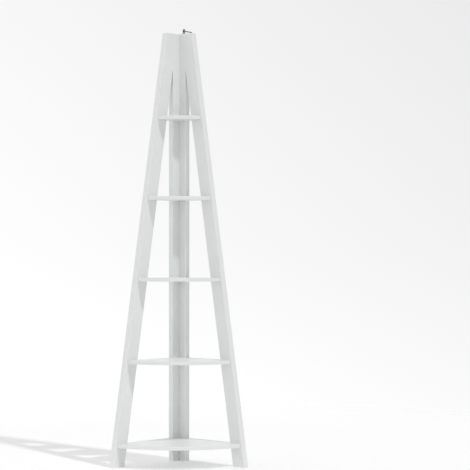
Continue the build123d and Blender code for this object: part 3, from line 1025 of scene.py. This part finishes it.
# %% [markdown]
# ## Floor, light and camera
# The unit stands on a white studio sweep: no line shows where the floor ends and the backdrop
# begins. A flat disc catches the shadows near the unit and fades out beyond them, and the
# background, seen past it, is a soft gradient, whitest low down and to the left. The fade and the
# gradient are for the camera's rays only, so the light on the unit stays that of a plain white
# room. White board on a white sweep needs the sweep a little overexposed, as it is in a
# studio, or the boards would look dirty next to it; a faint glow for the camera does that. A
# pool of light on the floor at the unit's foot lifts the shade below the bottom shelf.

# %% Make the floor
FADE_START, FADE_END = 1.5, 3.2        # metres from the unit
POOL_FULL, POOL_END = 0.3, 1.0         # metres from the unit
POOL_GLOW, CAMERA_GLOW = 0.15, 0.09
FLOOR_RADIUS = 40.0
floor_shape = bmesh.new()
bmesh.ops.create_circle(floor_shape, cap_ends=True, segments=128, radius=FLOOR_RADIUS)
floor_mesh = bpy.data.meshes.new("studio_floor")
floor_shape.to_mesh(floor_mesh)
floor_shape.free()
floor = new_object("studio_floor", floor_mesh)

sweep = bpy.data.materials.new("white_studio_sweep")
sweep.use_nodes = True
tree = sweep.node_tree
shader = tree.nodes["Principled BSDF"]
place = add(tree, "ShaderNodeTexCoord").outputs["Object"]
distance = add(tree, "ShaderNodeVectorMath", {0: place}, operation="LENGTH")
fade = add(tree, "ShaderNodeMapRange",
           {"Value": distance, "From Min": FADE_START, "From Max": FADE_END},
           interpolation_type="SMOOTHSTEP")
by_camera = add(tree, "ShaderNodeLightPath").outputs["Is Camera Ray"]
pool = add(tree, "ShaderNodeMapRange",
           {"Value": distance, "From Min": POOL_FULL, "From Max": POOL_END,
            "To Min": POOL_GLOW, "To Max": 0.0}, interpolation_type="SMOOTHSTEP")
glow = add(tree, "ShaderNodeMix",
           {"Factor": by_camera, "A": pool, "B": CAMERA_GLOW},
           data_type="FLOAT")
feed(shader, {"Base Color": linear("#F9F9F9"), "Roughness": 0.9,
              "Emission Color": (1, 1, 1, 1), "Emission Strength": glow})
gone = add(tree, "ShaderNodeMath", {0: fade, 1: by_camera}, operation="MULTIPLY")
clear = add(tree, "ShaderNodeBsdfTransparent")
mixed = add(tree, "ShaderNodeMixShader", {0: gone, 1: shader, 2: clear})
feed(tree.nodes["Material Output"], {"Surface": mixed})
floor.data.materials.append(sweep)
print("floor fades out between", FADE_START, "and", FADE_END, "m")

# %% Make the background and the soft light of the room
ROOM_STRENGTH = 0.50
SOFT_LIGHTS = (("left panel", (-1, 0, 0), 0.67), ("rear wall", (0, 1, 0), 0.65),
               ("front wall", (0, -1, 0), 0.25))
BACKDROP = ((-0.395, 0.955), (-0.72, 0.957))     # slope and level, above and below the horizon
SIDEWAYS = -0.35                                 # darker to the right
world = bpy.data.worlds.new("white_room")
bpy.context.scene.world = world
world.use_nodes = True
tree = world.node_tree
background = tree.nodes["Background"]
look = add(tree, "ShaderNodeTexCoord").outputs["Generated"]
room = ROOM_STRENGTH
for name, towards, strength in SOFT_LIGHTS:
    facing = add(tree, "ShaderNodeVectorMath", {0: look, 1: towards}, operation="DOT_PRODUCT")
    half = add(tree, "ShaderNodeMath", {0: facing, 1: 0.0}, operation="MAXIMUM")
    soft = add(tree, "ShaderNodeMath", {0: half, 1: 2.0}, operation="POWER")
    room = add(tree, "ShaderNodeMath", {0: soft, 1: strength, 2: room}, operation="MULTIPLY_ADD")
    print(name, "adds up to", strength, "to the room's", ROOM_STRENGTH)

# The backdrop, for the camera only: one slope above the level line and a steeper one below.
heading = add(tree, "ShaderNodeSeparateXYZ", {0: look}).outputs
slopes = [add(tree, "ShaderNodeMath", {0: heading["Z"], 1: slope, 2: level},
              operation="MULTIPLY_ADD")
          for slope, level in BACKDROP]
upward = add(tree, "ShaderNodeMath", {0: slopes[0], 1: slopes[1]}, operation="MAXIMUM")
sideways = add(tree, "ShaderNodeMath",
               {0: heading["X"], 1: SIDEWAYS, 2: upward}, operation="MULTIPLY_ADD")
by_camera = add(tree, "ShaderNodeLightPath").outputs["Is Camera Ray"]
strength = add(tree, "ShaderNodeMix",
               {"Factor": by_camera, "A": room, "B": sideways}, data_type="FLOAT")
feed(background, {"Color": (1, 1, 1, 1), "Strength": strength})

# %% Hang the key lamp
AZIMUTH, ELEVATION = radians(43), radians(53.5)    # to the right of the front, and up
towards_lamp = Vector((sin(AZIMUTH) * cos(ELEVATION), -cos(AZIMUTH) * cos(ELEVATION),
                       sin(ELEVATION)))
lamp = bpy.data.lights.new("key", "SUN")
lamp.energy = 0.97
lamp.angle = radians(3)
key = bpy.data.objects.new("key", lamp)
bpy.context.scene.collection.objects.link(key)
key.rotation_euler = (-towards_lamp).to_track_quat("-Z", "Y").to_euler()
print("key lamp comes from", [round(v, 2) for v in towards_lamp])

# %% Place the camera
camera = bpy.data.cameras.new("camera")
camera.sensor_width = 36
camera.lens = 126                      # a short telephoto, so the uprights stay upright
viewer = bpy.data.objects.new("camera", camera)
bpy.context.scene.collection.objects.link(viewer)
viewer.location = Vector((0.028, corner_y - 6.995, 0.852))
viewer.rotation_euler = (pi / 2 + 0.0141, 0, -0.0299)
bpy.context.scene.camera = viewer
bpy.context.scene.view_settings.view_transform = "Standard"
print("camera stands", round(corner_y - viewer.location.y, 2), "m in front of the corner")
